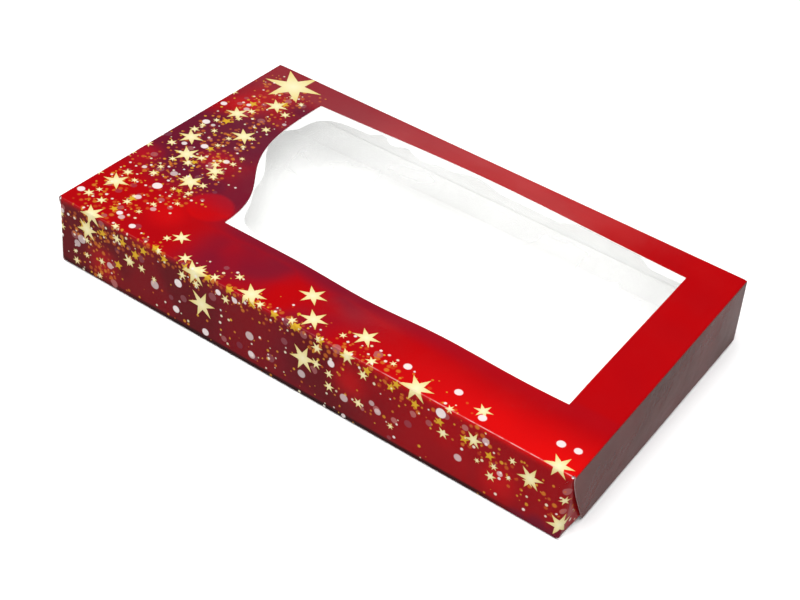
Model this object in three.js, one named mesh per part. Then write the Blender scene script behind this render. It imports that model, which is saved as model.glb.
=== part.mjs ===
// Cookie box: a folding carton with a windowed top and a tuck closure at each end.
// Millimetres, +Z up. The origin is the centre of the underside; the long side runs along X.
// The front wall faces -Y and the right end faces +X.

import * as THREE from 'three';

// Overall size of the closed box
const boxLength = 300;
const boxWidth = 180;
const boxHeight = 40;

// Sheet materials
const boardThickness = 0.5;
const filmThickness = 0.1;
const glueThickness = 0.1;

// Clearances
const creaseGap = 0.3;
const flapGap = 0.3;
const tuckClearance = 0.5;
const tuckFoldClearance = 0.1;

// Window in the top panel, given as margins from the box's outside
const windowFrontMargin = 39;
const windowBackMargin = 21;
const windowRightMargin = 25;
const windowLeftMarginAtBack = 45.5;
const windowLeftMarginAtFront = 75.5;

// The window's left side is one S-shaped curve; its two handles run along the box's width
const windowCurveBackHandle = 84;
const windowCurveBackBow = 7.5;
const windowCurveFrontHandle = 50;
const windowCurveSegments = 28;

// Film bonded under the window
const filmOverlap = 10;
const filmGlueSetback = 3;
const filmGlueEdge = 1.5;

// Glued long seam inside the back wall
const glueFlapHeight = 16;
const glueFlapEndInset = 6;
const glueFlapEndSlant = 8;
const seamGlueMargin = 3;

// End closure panel, with its lower front corner cut away in a long curve
const closureShoulder = 1.5;
const closureCornerInset = 17;
const closureCurveInset = 2.5;
const closureCurveDrop = 12;
const closureCurveSegments = 10;

// Tuck flap on the closure panel's lower edge; it rises a little into the box
const tuckDepth = 15;
const tuckRise = THREE.MathUtils.degToRad(24);
const tuckCornerInset = 8;
const tuckCornerDepth = 9;
const tuckSideClearance = 1;
const tuckShoulder = 16;

// Dust flaps behind the closure panel
const dustTopClearance = 0.8;
const dustBottomClearance = 0.5;
const dustTopSlope = THREE.MathUtils.degToRad(32);
const dustBottomSlope = THREE.MathUtils.degToRad(8);
const dustTipHeight = 6;

// Places that follow from the sizes above
const halfLength = boxLength / 2;
const halfWidth = boxWidth / 2;
const halfBoard = boardThickness / 2;
const wallTop = boxHeight - boardThickness;
const closureX = halfLength - halfBoard;
const closureHingeZ = boxHeight - halfBoard;
const closureInnerX = halfLength - boardThickness;
const dustX = closureInnerX - flapGap - halfBoard;
const dustHingeY = halfWidth - halfBoard;
const topEndX = closureX - creaseGap;
const wallEndX = dustX - creaseGap;
const bottomEndX = closureInnerX - flapGap;
const tuckHingeZ = boardThickness + tuckClearance;
const tuckCreaseGap = halfBoard * (1 + Math.sin(tuckRise)) / Math.cos(tuckRise) + tuckFoldClearance;
const seamOuterY = halfWidth - boardThickness;
const seamInnerY = seamOuterY - glueThickness;
const filmTop = wallTop - glueThickness;

// Finishes
const printedRed = new THREE.MeshStandardMaterial({ color: 0xb3101c, roughness: 0.32, metalness: 0 });
const printedMaroon = new THREE.MeshStandardMaterial({ color: 0x6b3034, roughness: 0.38, metalness: 0 });
const innerBoard = new THREE.MeshStandardMaterial({ color: 0xece8e2, roughness: 0.85, metalness: 0 });
const clearFilm = new THREE.MeshStandardMaterial({
  color: 0xf6f8fa,
  roughness: 0.08,
  metalness: 0,
  transparent: true,
  opacity: 0.25,
});
const clearGlue = new THREE.MeshStandardMaterial({ color: 0xe9e4d4, roughness: 0.4, metalness: 0 });

const cookieBox = new THREE.Group();
cookieBox.name = 'cookie_box';

function addPiece(name, geometry, material, parent = cookieBox) {
  const piece = new THREE.Mesh(geometry, material);
  piece.name = name;
  parent.add(piece);
  return piece;
}

// A flat rectangular piece between two corners
function addSlab(name, low, high, material) {
  const size = high.map((value, axis) => value - low[axis]);
  const piece = addPiece(name, new THREE.BoxGeometry(...size), material);
  piece.position.set(...low.map((value, axis) => value + size[axis] / 2));
  return piece;
}

// A sheet of even thickness with any outline, standing on the outline's own plane
function sheetGeometry(outline, thickness, curveSegments = 1) {
  return new THREE.ExtrudeGeometry(outline, { depth: thickness, bevelEnabled: false, curveSegments });
}

function polygon(points) {
  return new THREE.Shape(points.map(([x, y]) => new THREE.Vector2(x, y)));
}

// The window's outline, moved outwards by grow on every side
function traceWindow(path, grow) {
  const front = -halfWidth + windowFrontMargin - grow;
  const back = halfWidth - windowBackMargin + grow;
  const right = halfLength - windowRightMargin + grow;
  const leftAtBack = -halfLength + windowLeftMarginAtBack - grow;
  const leftAtFront = -halfLength + windowLeftMarginAtFront - grow;
  path.moveTo(right, front);
  path.lineTo(right, back);
  path.lineTo(leftAtBack, back);
  path.bezierCurveTo(
    leftAtBack - windowCurveBackBow, back - windowCurveBackHandle,
    leftAtFront, front + windowCurveFrontHandle,
    leftAtFront, front,
  );
  path.closePath();
  return path;
}

// The film reaches past the window on every side, and past the furthest bow of its curved side
function filmCorners() {
  const furthestLeft = Math.min(windowLeftMarginAtBack - windowCurveBackBow, windowLeftMarginAtFront);
  return {
    low: [-halfLength + furthestLeft - filmOverlap, -halfWidth + windowFrontMargin - filmOverlap],
    high: [halfLength - windowRightMargin + filmOverlap, halfWidth - windowBackMargin + filmOverlap],
  };
}

function rectangle([lowX, lowY], [highX, highY], inset) {
  return polygon([
    [lowX + inset, lowY + inset],
    [highX - inset, lowY + inset],
    [highX - inset, highY - inset],
    [lowX + inset, highY - inset],
  ]);
}

function addTopPanel() {
  const outline = rectangle([-topEndX, -halfWidth], [topEndX, halfWidth], 0);
  outline.holes.push(traceWindow(new THREE.Path(), 0));
  const panel = addPiece(
    'top_panel',
    sheetGeometry(outline, boardThickness, windowCurveSegments),
    printedRed,
  );
  panel.position.z = wallTop;
}

function addWindowFilm() {
  const { low, high } = filmCorners();
  addSlab('window_film', [...low, filmTop - filmThickness], [...high, filmTop], clearFilm);

  const glueOutline = rectangle(low, high, filmGlueEdge);
  glueOutline.holes.push(traceWindow(new THREE.Path(), filmGlueSetback));
  const glue = addPiece(
    'window_adhesive',
    sheetGeometry(glueOutline, glueThickness, windowCurveSegments),
    clearGlue,
  );
  glue.position.z = filmTop;
}

function addWallsAndBottom() {
  addSlab('front_wall', [-wallEndX, -halfWidth, 0], [wallEndX, -seamOuterY, wallTop], printedRed);
  addSlab('back_wall', [-wallEndX, seamOuterY, 0], [wallEndX, halfWidth, wallTop], printedRed);
  addSlab('bottom_panel', [-bottomEndX, -seamOuterY, 0], [bottomEndX, seamInnerY, boardThickness], printedRed);
}

// The seam flap stands up from the bottom panel's back edge and is glued to the back wall
function addSeam() {
  const halfFlap = wallEndX - glueFlapEndInset;
  const flapOutline = polygon([
    [-halfFlap, 0],
    [halfFlap, 0],
    [halfFlap - glueFlapEndSlant, glueFlapHeight],
    [-halfFlap + glueFlapEndSlant, glueFlapHeight],
  ]);
  const flap = addPiece('glue_flap', sheetGeometry(flapOutline, boardThickness), innerBoard);
  flap.rotation.x = Math.PI / 2;
  flap.position.set(0, seamInnerY, boardThickness);

  const glueEnd = halfFlap - glueFlapEndSlant - seamGlueMargin;
  addSlab(
    'seam_adhesive',
    [-glueEnd, seamInnerY, boardThickness + seamGlueMargin],
    [glueEnd, seamOuterY, boardThickness + glueFlapHeight - seamGlueMargin],
    clearGlue,
  );
}

// An end's flat pieces are drawn with Y across and Z up, and get their thickness along X
const acrossUpOut = new THREE.Matrix4().makeBasis(
  new THREE.Vector3(0, 1, 0),
  new THREE.Vector3(0, 0, 1),
  new THREE.Vector3(1, 0, 0),
);

function standAcross(piece, x) {
  piece.quaternion.setFromRotationMatrix(acrossUpOut);
  piece.position.x = x - halfBoard;
}

// cutAt says where the cut-away corner is, +1 or -1 along Y
function closureOutline(cutAt) {
  const side = halfWidth - creaseGap;
  const top = closureHingeZ - creaseGap;
  const bottom = tuckHingeZ + tuckCreaseGap;
  const outline = new THREE.Shape();
  outline.moveTo(-cutAt * side, bottom);
  outline.lineTo(-cutAt * side, top);
  outline.lineTo(cutAt * side, top);
  outline.lineTo(cutAt * side, top - closureShoulder);
  outline.quadraticCurveTo(
    cutAt * (side - closureCurveInset), top - closureCurveDrop,
    cutAt * (side - closureCornerInset), bottom,
  );
  return outline;
}

// Drawn with the crease along Y and the flap's depth along Z, before it is turned inwards
function tuckOutline(cutAt) {
  const side = halfWidth - creaseGap;
  const cutEnd = cutAt * (side - closureCornerInset - tuckSideClearance);
  const wholeEnd = -cutAt * (side - tuckShoulder);
  return polygon([
    [cutEnd, tuckCreaseGap],
    [wholeEnd, tuckCreaseGap],
    [wholeEnd, tuckDepth - tuckCornerDepth],
    [wholeEnd + cutAt * tuckCornerInset, tuckDepth],
    [cutEnd - cutAt * tuckCornerInset, tuckDepth],
    [cutEnd, tuckDepth - tuckCornerDepth],
  ]);
}

// Drawn from the wall's crease towards the middle of the end; reach is +1 or -1 along Y
function dustOutline(reach) {
  const top = wallTop - dustTopClearance;
  const bottom = boardThickness + dustBottomClearance;
  const narrowing = Math.tan(dustTopSlope) + Math.tan(dustBottomSlope);
  const flapLength = (top - bottom - dustTipHeight) / narrowing;
  const nearY = reach * creaseGap;
  const tipY = reach * (creaseGap + flapLength);
  const tipBottom = bottom + flapLength * Math.tan(dustBottomSlope);
  return polygon([
    [nearY, bottom],
    [tipY, tipBottom],
    [tipY, tipBottom + dustTipHeight],
    [nearY, top],
  ]);
}

function addDustFlap(name, parent, reach) {
  const flap = addPiece(name, sheetGeometry(dustOutline(reach), boardThickness), printedRed, parent);
  standAcross(flap, dustX);
  flap.position.y = -reach * dustHingeY;
}

// Each end is drawn facing +X and turned to its place, with its cut-away corner at the box's front
function addEnd({ side, turn, cutAt, flapAtMinusY, flapAtPlusY }) {
  const end = new THREE.Group();
  end.rotation.z = turn;
  cookieBox.add(end);

  const closure = addPiece(
    `${side}_closure_panel`,
    sheetGeometry(closureOutline(cutAt), boardThickness, closureCurveSegments),
    printedMaroon,
    end,
  );
  standAcross(closure, closureX);

  const tuckCrease = new THREE.Group();
  tuckCrease.position.set(closureX, 0, tuckHingeZ);
  tuckCrease.rotation.y = tuckRise - Math.PI / 2;
  end.add(tuckCrease);
  const tuck = addPiece(
    `${side}_tuck_flap`,
    sheetGeometry(tuckOutline(cutAt), boardThickness),
    printedMaroon,
    tuckCrease,
  );
  standAcross(tuck, 0);

  addDustFlap(`${side}_${flapAtMinusY}_dust_flap`, end, 1);
  addDustFlap(`${side}_${flapAtPlusY}_dust_flap`, end, -1);
}

addTopPanel();
addWindowFilm();
addWallsAndBottom();
addSeam();
addEnd({ side: 'right', turn: 0, cutAt: -1, flapAtMinusY: 'front', flapAtPlusY: 'back' });
addEnd({ side: 'left', turn: Math.PI, cutAt: 1, flapAtMinusY: 'back', flapAtPlusY: 'front' });

export default cookieBox;
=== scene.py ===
"""The looks of a cookie box: a folding carton with a film window in its star-printed top.

Sizes are in millimetres and turn into metres where a mesh or the camera is made.
The floor and the lights are given in metres and watts.
The front wall faces -Y, the right end faces +X, and the box stands on z = 0.
"""

import math

import bpy
import numpy as np
from mathutils import Matrix, Vector


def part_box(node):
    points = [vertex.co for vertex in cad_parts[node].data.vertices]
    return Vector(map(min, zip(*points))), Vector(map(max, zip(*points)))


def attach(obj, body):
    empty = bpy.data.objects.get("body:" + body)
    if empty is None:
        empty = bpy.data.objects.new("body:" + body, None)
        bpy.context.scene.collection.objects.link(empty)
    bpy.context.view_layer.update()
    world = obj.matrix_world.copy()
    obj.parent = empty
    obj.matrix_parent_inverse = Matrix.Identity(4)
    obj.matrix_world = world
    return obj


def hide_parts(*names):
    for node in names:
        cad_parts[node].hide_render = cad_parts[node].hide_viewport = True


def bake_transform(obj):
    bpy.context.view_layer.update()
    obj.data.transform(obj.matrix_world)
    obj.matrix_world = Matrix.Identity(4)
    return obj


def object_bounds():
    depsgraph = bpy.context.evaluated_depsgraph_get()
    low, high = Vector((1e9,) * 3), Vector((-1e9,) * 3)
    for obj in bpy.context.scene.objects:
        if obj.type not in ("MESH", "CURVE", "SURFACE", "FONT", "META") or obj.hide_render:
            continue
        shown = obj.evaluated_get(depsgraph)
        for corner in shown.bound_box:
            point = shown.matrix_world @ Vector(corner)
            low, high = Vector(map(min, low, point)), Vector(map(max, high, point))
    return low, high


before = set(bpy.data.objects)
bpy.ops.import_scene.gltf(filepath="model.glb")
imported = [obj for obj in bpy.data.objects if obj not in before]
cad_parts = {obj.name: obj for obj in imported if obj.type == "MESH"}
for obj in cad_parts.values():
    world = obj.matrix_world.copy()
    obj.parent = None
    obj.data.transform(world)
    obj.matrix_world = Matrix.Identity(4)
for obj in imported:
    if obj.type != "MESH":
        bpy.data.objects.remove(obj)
cad_low, cad_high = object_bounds()

MM = 0.001


def node_box(name):
    """Lowest and highest corner of a CAD node."""
    low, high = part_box(name)
    return low / MM, high / MM


# Sizes taken from the frame
HALF_LENGTH = cad_high.x / MM
HALF_WIDTH = cad_high.y / MM
HEIGHT = cad_high.z / MM
top_low, top_high = node_box("top_panel")
_, bottom_high = node_box("bottom_panel")
_, glue_flap_high = node_box("glue_flap")
film_low, film_high = node_box("window_film")
glue_low, glue_high = node_box("window_adhesive")
closure_low, closure_high = node_box("right_closure_panel")
tuck_low, tuck_high = node_box("right_tuck_flap")
dust_low, dust_high = node_box("right_front_dust_flap")
BOARD = top_high.z - top_low.z
HALF_BOARD = BOARD / 2
FILM = film_high.z - film_low.z
GLUE = glue_high.z - glue_low.z

# The board's middle plane in each panel
TOP_Z = HEIGHT - HALF_BOARD
BOTTOM_Z = HALF_BOARD
WALL_Y = HALF_WIDTH - HALF_BOARD
GLUE_FLAP_Y = glue_flap_high.y - HALF_BOARD
CLOSURE_X = HALF_LENGTH - HALF_BOARD
DUST_X = dust_high.x - HALF_BOARD

# Creases: the radius of the board's middle plane, and the steps of one turn
CREASE = 0.7
TURN_STEPS = 7
QUARTER = math.pi / 2
BESIDE_CREASE = 0.35
SHARP_ANGLE = math.radians(35)

# Flat stretches between the creases
TOP_HALF_FLAT = WALL_Y - CREASE
WALL_FLAT_TOP = TOP_Z - CREASE
WALL_FLAT_BOTTOM = BOTTOM_Z + CREASE
TOP_END_X = CLOSURE_X - CREASE
WALL_END_X = DUST_X - CREASE
BOTTOM_END_X = bottom_high.x
CLOSURE_DROP = WALL_FLAT_TOP - closure_low.z

# Window, as margins from the box's outside, and the S-shaped curve of its left side
WINDOW_FRONT = -HALF_WIDTH + 39
WINDOW_BACK = HALF_WIDTH - 21
WINDOW_RIGHT = HALF_LENGTH - 25
WINDOW_LEFT_AT_BACK = -HALF_LENGTH + 45.5
WINDOW_LEFT_AT_FRONT = -HALF_LENGTH + 75.5
WINDOW_BACK_HANDLE = 84
WINDOW_BACK_BOW = 7.5
WINDOW_FRONT_HANDLE = 50
WINDOW_CURVE_STEPS = 44
GLUE_SETBACK = 3

# The film's white strip, a painted highlight where it ripples: its left bulge, front width, corners, and the
# notches of its back edge
# (each with its place along the edge, half width and depth)
FILM_LEFT_BULGE = 70
FILM_FRONT_STRIP = 3
FILM_CORNER = 28
FILM_NOTCHES = (
    (44, 8, 3.8), (61, 7, 2), (74, 12, -1.6), (106, 18, 3),
)

# The top's free edges along the window: the front one sags in two places, the back one springs up and
# the left one sags, each with its place, half width and height, and its reach into the panel; the power
# bends the lifted strip
FRONT_SAGS = (
    (14, 44, 1.7), (102, 46, 1.2),
)
FRONT_SAG_REACH = 17
BACK_LIFT = (5, 150, 3.6)
BACK_LIFT_REACH = 12
BACK_LIFT_POWER = 1.2
LEFT_SAG = (10, 62, 0.5)
LEFT_SAG_REACH = 18

# How far from their creases the top and the front wall are held flat
TOP_HELD_AT_ENDS = 26
TOP_HELD_AT_SIDES = 16
WALL_HELD_AT_ENDS = 30

# Waves of the top, the front wall and the film, each with its height, length and shift
TOP_WAVE_ALONG = (0.12, 23, 1.1)
TOP_WAVE_ACROSS = (1, 31, 0.4)
WALL_WAVES = ((0.35, 55, 0.6), (0.2, 21, 0))
FILM_LEFT_WAVES = ((0.28, 5.1, 0), (0.196, 2.9, 1.3))
FILM_BACK_WAVES = ((0.25, 6.3, 0.8), (0.15, 3.7, 0))
FILM_SLACK_ALONG = (0.5, 37, 0)
FILM_SLACK_ACROSS = (1, 29, 0.7)

# The film: how far its waves reach from the left and the back, its sag, and the strip that is held flat
FILM_LEFT_REACH = 12
FILM_BACK_REACH = 10
FILM_SAG = 0.3
FILM_HELD = 4

# Glue flap: how far its ends slope in; the back wall stops just above the floor
GLUE_FLAP_TAPER = 8
BACK_WALL_FOOT = 0.02

# End closure: its cut-away front corner, and how far it springs open at rest
CLOSURE_SHOULDER = 2
CLOSURE_CORNER_INSET = 17
CLOSURE_CURVE_INSET = 2.5
CLOSURE_CURVE_DROP = 12.5
CLOSURE_CURVE_STEPS = 16
CLOSURE_SPRING = math.radians(2.4)
CLOSURE_TWIST = math.radians(1.6)
CLOSURE_BULGE = 0.5
CLOSURE_BULGE_WIDTH = 2.2 * HALF_WIDTH

# Tuck flap on the closure's lower edge, its corners, and the margin of the fold beside it
TUCK_CREASE = 0.6
TUCK_RISE = math.radians(24)
TUCK_DEPTH = 13.2
TUCK_CORNER_INSET = 8
TUCK_CORNER_DEPTH = 9
TUCK_CORNER_POWER = 1.3
TUCK_MARGIN = 3

# Dust flaps: the right front one's fold is round at half height, the others are tight
ROUND_FOLD = 5
ROUND_FOLD_FADE = 10
DUST_TIP_HEIGHT = 6
DUST_TOP_SLOPE = math.radians(32)
DUST_BOTTOM_SLOPE = math.radians(8)
DUST_SPRING = math.radians(2.2)
DUST_SPRING_REACH = 18

# Columns of the sheets' grids, and a dust flap's rows as shares of its reach
WINDOW_COLUMNS = 56
CLOSURE_COLUMNS = 37
TUCK_COLUMNS = 25
DUST_COLUMNS = 13
DUST_ROWS = np.concatenate([[0.006], np.linspace(0.03, 1, 14)])
FILM_COLUMNS = 150
FILM_ROWS = 90
GLUE_COLUMNS = 50


def smoothstep(reach, value):
    """0 up to 0, rising smoothly to 1 at reach."""
    share = np.clip(value / reach, 0, 1)
    return share * share * (3 - 2 * share)


def bump(value, centre, half_width, height):
    """Height at the centre, fading smoothly to 0 at half_width on either side."""
    return height * (1 - smoothstep(half_width, np.abs(value - centre)))


def wave(value, height, length, shift):
    return height * np.sin(value / length + shift)


# Folded paths


def run(length, soft_end=2.0, step=4.0):
    """Stations along a flat stretch, closer together beside the creases at its ends."""
    count = max(2, round((length - 2 * soft_end) / step))
    inner = np.linspace(soft_end, length - soft_end, count + 1)
    return np.concatenate([[BESIDE_CREASE], inner, [length - BESIDE_CREASE, length]])


class FoldedPath:
    """A board's middle line seen edge on: points, outward directions and the distance along it.

    spans gives the rows of each flat stretch, from the end of the fold before it.
    """

    def __init__(self, start, heading, outward_side):
        self.points = [np.array(start, float)]
        self.headings = [np.array(heading, float)]
        self.outward_side = outward_side
        self.along = [0.0]
        self.spans = {}

    def straight(self, stations, name):
        first = len(self.points) - 1
        start = self.points[-1]
        heading = self.headings[-1]
        begun = self.along[-1]
        for station in stations:
            self.points.append(start + heading * station)
            self.headings.append(heading)
            self.along.append(begun + station)
        self.spans[name] = slice(first, len(self.points))

    def turn(self, angle, radius):
        """A round fold; a positive angle turns left."""
        side = math.copysign(1, angle)
        heading = self.headings[-1]
        left = np.array([-heading[1], heading[0]])
        centre = self.points[-1] + side * radius * left
        spoke = self.points[-1] - centre
        begun = self.along[-1]
        for step in range(1, TURN_STEPS + 1):
            part = angle * step / TURN_STEPS
            spin = np.array([[math.cos(part), -math.sin(part)], [math.sin(part), math.cos(part)]])
            self.points.append(centre + spin @ spoke)
            self.headings.append(spin @ heading)
            self.along.append(begun + abs(part) * radius)

    def outward(self):
        headings = np.array(self.headings)
        left = np.stack([-headings[:, 1], headings[:, 0]], axis=1)
        return left * self.outward_side


def columns(bounds, *shares):
    """Places across each row: bounds holds the row's edges, shares divides each stretch between them."""
    places = []
    for index, parts in enumerate(shares):
        low = bounds[:, index, None]
        high = bounds[:, index + 1, None]
        parts = parts if index == 0 else parts[1:]
        places.append(low + (high - low) * parts)
    return np.concatenate(places, axis=1)


def sheet_grid(path, across, path_axes, row_axis):
    """The middle points and outward directions of a folded sheet."""
    middle = np.zeros((*across.shape, 3))
    normal = np.zeros_like(middle)
    middle[..., path_axes] = np.array(path.points)[:, None]
    normal[..., path_axes] = path.outward()[:, None]
    middle[..., row_axis] = across
    return middle, normal


# Meshes


def grid_faces(present, corner_ids, flip):
    """Quads of the cells that are there, as rows of four corner numbers."""
    row, column = np.nonzero(present)
    corners = ((0, 0), (0, 1), (1, 1), (1, 0))
    quads = np.stack([corner_ids[row + down, column + along] for down, along in corners], axis=1)
    return quads[:, ::-1] if flip else quads


def rim_edges(quads):
    """Directed edges that belong to one quad only."""
    edges = [tuple(edge) for quad in quads.tolist() for edge in zip(quad, quad[1:] + quad[:1])]
    known = set(edges)
    return [edge for edge in edges if edge[::-1] not in known]


# Finishes of a sheet, in the order of its materials
OUTSIDE = 0
INSIDE = 1
CUT = 2


def add_sheet(name, middle, normal, print_uv, thickness, materials, present=None, rim=None):
    """A closed sheet of even thickness round a grid of middle points.

    materials are for the outside, the inside and the cut edges. rim gives the finish at the sheet's edge
    for each grid point: outside where the sheet goes on as another piece, so that no cut edge shows.
    """
    rows, count, _ = middle.shape
    if present is None:
        present = np.ones((rows - 1, count - 1), bool)
    if rim is None:
        rim = np.full((rows, count), CUT)
    total = rows * count
    ids = np.arange(total).reshape(rows, count)
    side = np.cross(middle[0, 1] - middle[0, 0], middle[1, 0] - middle[0, 0])
    flip = float(side @ normal[0, 0]) < 0
    outer = grid_faces(present, ids, flip)
    inner = outer[:, ::-1] + total
    edge_faces = []
    edge_finishes = []
    rim_flat = rim.ravel().tolist()
    for first, second in rim_edges(outer):
        edge_faces.append((second, first, first + total, second + total))
        edge_finishes.append(rim_flat[first] if rim_flat[first] == rim_flat[second] else CUT)
    offset = normal * (thickness / 2)
    vertices = np.concatenate([(middle + offset).reshape(-1, 3), (middle - offset).reshape(-1, 3)]) * MM
    faces = outer.tolist() + inner.tolist() + edge_faces
    finishes = [OUTSIDE] * len(outer) + [INSIDE] * len(inner) + edge_finishes
    return add_mesh(name, vertices, faces, finishes, np.tile(print_uv.reshape(-1, 2), (2, 1)), materials)


def add_object(name, data):
    thing = bpy.data.objects.new(name, data)
    bpy.context.scene.collection.objects.link(thing)
    return thing


def add_mesh(name, vertices, faces, finishes, uv, materials):
    """A smooth mesh of quads, without the vertices that no quad uses."""
    used, corners = np.unique(faces, return_inverse=True)
    mesh = bpy.data.meshes.new(name)
    mesh.from_pydata(vertices[used].tolist(), [], corners.reshape(-1, 4).tolist())
    for material in materials:
        mesh.materials.append(material)
    mesh.polygons.foreach_set("material_index", finishes)
    mesh.polygons.foreach_set("use_smooth", [True] * len(faces))
    layer = mesh.uv_layers.new(name="print")
    layer.data.foreach_set("uv", (uv[used][corners.ravel()] * MM).ravel().astype(np.float32))
    mesh.set_sharp_from_angle(angle=SHARP_ANGLE)
    mesh.update()
    return add_object(name, mesh)


# Node trees


def operation(name):
    """A way for fields to add one kind of math node."""
    return lambda first, *others: first.nodes.math(name, first, *others)


class Field:
    """A number that changes over a surface: a node's output, with arithmetic that adds more nodes."""

    def __init__(self, nodes, socket):
        self.nodes = nodes
        self.socket = socket

    __add__ = operation("ADD")
    __sub__ = operation("SUBTRACT")
    __mul__ = operation("MULTIPLY")
    __truediv__ = operation("DIVIDE")
    __abs__ = operation("ABSOLUTE")
    __lt__ = operation("LESS_THAN")

    def __rsub__(self, other):
        return self.nodes.math("SUBTRACT", other, self)


class Nodes:
    """Short ways to add nodes to one tree; a value may be a number, a colour, a field or a node's socket."""

    def __init__(self, tree):
        self.tree = tree

    def add(self, kind, inputs=None, **settings):
        node = self.tree.nodes.new(kind)
        for key, value in settings.items():
            setattr(node, key, value)
        self.set(node, inputs or {})
        return node

    def set(self, node, inputs):
        for key, value in inputs.items():
            self.feed(node.inputs[key], value)

    def feed(self, socket, value):
        if isinstance(value, Field):
            value = value.socket
        if isinstance(value, bpy.types.NodeSocket):
            self.tree.links.new(value, socket)
        elif isinstance(value, tuple) and len(value) == 3 and socket.type == "RGBA":
            socket.default_value = (*value, 1)
        else:
            socket.default_value = value

    def math(self, operation, *values):
        node = self.add("ShaderNodeMath", operation=operation)
        for socket, value in zip(node.inputs, values):
            self.feed(socket, value)
        return Field(self, node.outputs[0])

    def largest(self, first, *others):
        for other in others:
            first = self.math("MAXIMUM", first, other)
        return first

    def vector(self, operation, first, second=(0.0, 0.0, 0.0)):
        node = self.add("ShaderNodeVectorMath", operation=operation)
        self.feed(node.inputs[0], first)
        self.feed(node.inputs[1], second)
        if operation in ("LENGTH", "DISTANCE"):
            return Field(self, node.outputs["Value"])
        return node.outputs["Vector"]

    def ramp(self, value, low, high, start=0.0, end=1.0):
        """A smooth step from start at low to end at high."""
        node = self.add("ShaderNodeMapRange", {
            "Value": value, "From Min": low, "From Max": high, "To Min": start, "To Max": end,
        }, interpolation_type="SMOOTHSTEP", clamp=False)
        return Field(self, node.outputs["Result"])

    def mix(self, share, first, second):
        """Colour between first and second."""
        node = self.add("ShaderNodeMix", data_type="RGBA")
        for index, value in ((0, share), (6, first), (7, second)):
            self.feed(node.inputs[index], value)
        return node.outputs[2]

    def noise(self, coordinates, scale, detail=2.0, roughness=0.5):
        node = self.add("ShaderNodeTexNoise", {
            "Vector": coordinates, "Scale": scale, "Detail": detail, "Roughness": roughness,
        })
        return Field(self, node.outputs["Fac"])

    def split(self, value):
        parts = self.add("ShaderNodeSeparateXYZ", {"Vector": value}).outputs
        return Field(self, parts["X"]), Field(self, parts["Y"])

    def group(self, tree, inputs):
        """The outputs of a node group, by name."""
        node = self.add("ShaderNodeGroup", inputs, node_tree=tree)
        return {output.name: Field(self, output) for output in node.outputs}

    def print_place(self):
        """Place on the unfolded sheet, in millimetres."""
        uv = self.add("ShaderNodeUVMap", uv_map="print").outputs["UV"]
        scaled = self.add("ShaderNodeVectorMath", {"Vector": uv, "Scale": 1 / MM}, operation="SCALE")
        return scaled.outputs["Vector"]


def new_group(name, inputs, outputs):
    """A node group; returns it with its tree helper and its input and output nodes."""
    tree = bpy.data.node_groups.new(name, "ShaderNodeTree")
    for in_out, sockets in (("INPUT", inputs), ("OUTPUT", outputs)):
        for socket_name, kind in sockets.items():
            tree.interface.new_socket(socket_name, in_out=in_out, socket_type=kind)
    nodes = Nodes(tree)
    entry = nodes.add("NodeGroupInput")
    leave = nodes.add("NodeGroupOutput")
    return tree, nodes, entry, leave


FLOAT = "NodeSocketFloat"
VECTOR = "NodeSocketVector"

# The print's soft edges, and how its random spots lie
STAR_SOFTNESS = 0.08
DOT_SOFTNESS = 0.25
DISC_RANDOMNESS = 0.95
STAR_RANDOMNESS = 0.6
SEED_SHIFT = (71.3, 37.7, 0.0)


def star_group(name, points, waist, tip):
    """A star with straight rays.

    waist is the inner corners' radius as a share of the tips', and tip the angle of one ray in degrees.
    """
    tree, nodes, entry, leave = new_group(
        name, {"Place": VECTOR, "Radius": FLOAT}, {"Mask": FLOAT, "Share": FLOAT},
    )
    half_ray = math.pi / points
    along = waist * math.sin(half_ray)
    across = 1 - waist * math.cos(half_ray)
    size = math.hypot(along, across)
    place = entry.outputs["Place"]
    radius = entry.outputs["Radius"]
    x, y = nodes.split(place)
    angle = nodes.math("ARCTAN2", y, x) - math.radians(tip)
    fold = nodes.math("PINGPONG", angle, half_ray)
    distance = nodes.vector("LENGTH", place)
    ray_x = distance * nodes.math("COSINE", fold)
    ray_y = distance * nodes.math("SINE", fold)
    depth = (radius - ray_x) * (along / size) - ray_y * (across / size)
    nodes.set(leave, {
        "Mask": nodes.ramp(depth, -STAR_SOFTNESS, STAR_SOFTNESS),
        "Share": distance / radius,
    })
    return tree


def band_group():
    """How thick the stars lie: a band down the left margin and one along the front crease, and their core."""
    tree, nodes, entry, leave = new_group("star_band", {"Place": VECTOR}, {"Density": FLOAT, "Core": FLOAT})
    place = entry.outputs["Place"]
    ramp = nodes.ramp
    u, v = nodes.split(place)
    drift = nodes.noise(place, 0.03) - 0.5
    spread = ramp(v, -30, 20, 9, 0) * ramp(v, -72, -48)
    left_line = spread * 0.5 - drift * 30 - 126
    from_left_line = abs(u - left_line) - spread
    front_line = ramp(u, -120, -50, -101, -91) + ramp(u, 50, 180, 0, -26) + drift * 16
    from_front_line = abs(v - front_line)
    not_back = ramp(v, 70, 86, 1, 0)
    thinner = ramp(u, 20, 150, 1, 0.6)
    left_band = ramp(from_left_line, 9, 27, 1, 0) * not_back
    left_core = ramp(from_left_line, 6, 20, 1, 0) * not_back
    front_band = ramp(from_front_line, 5, 19, 1, 0) * thinner
    front_core = ramp(from_front_line, 3, 10, 1, 0) * thinner
    on_wall = ramp(v, -96, -88, 1, 0) * ramp(abs(u + 15), 50, 100, 0.6, 0.22)
    clusters = ramp(nodes.noise(place, 0.075, 1.0), 0.36, 0.6, 0.35, 1) * ramp(v, -134, -122)
    nodes.set(leave, {
        "Density": nodes.largest(left_band, front_band, on_wall) * clusters,
        "Core": nodes.largest(left_core, front_core) * clusters,
    })
    return tree


def between(ends, share):
    """The value at a share of the way from one end to the other."""
    low, high = ends
    return share * (high - low) + low


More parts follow.
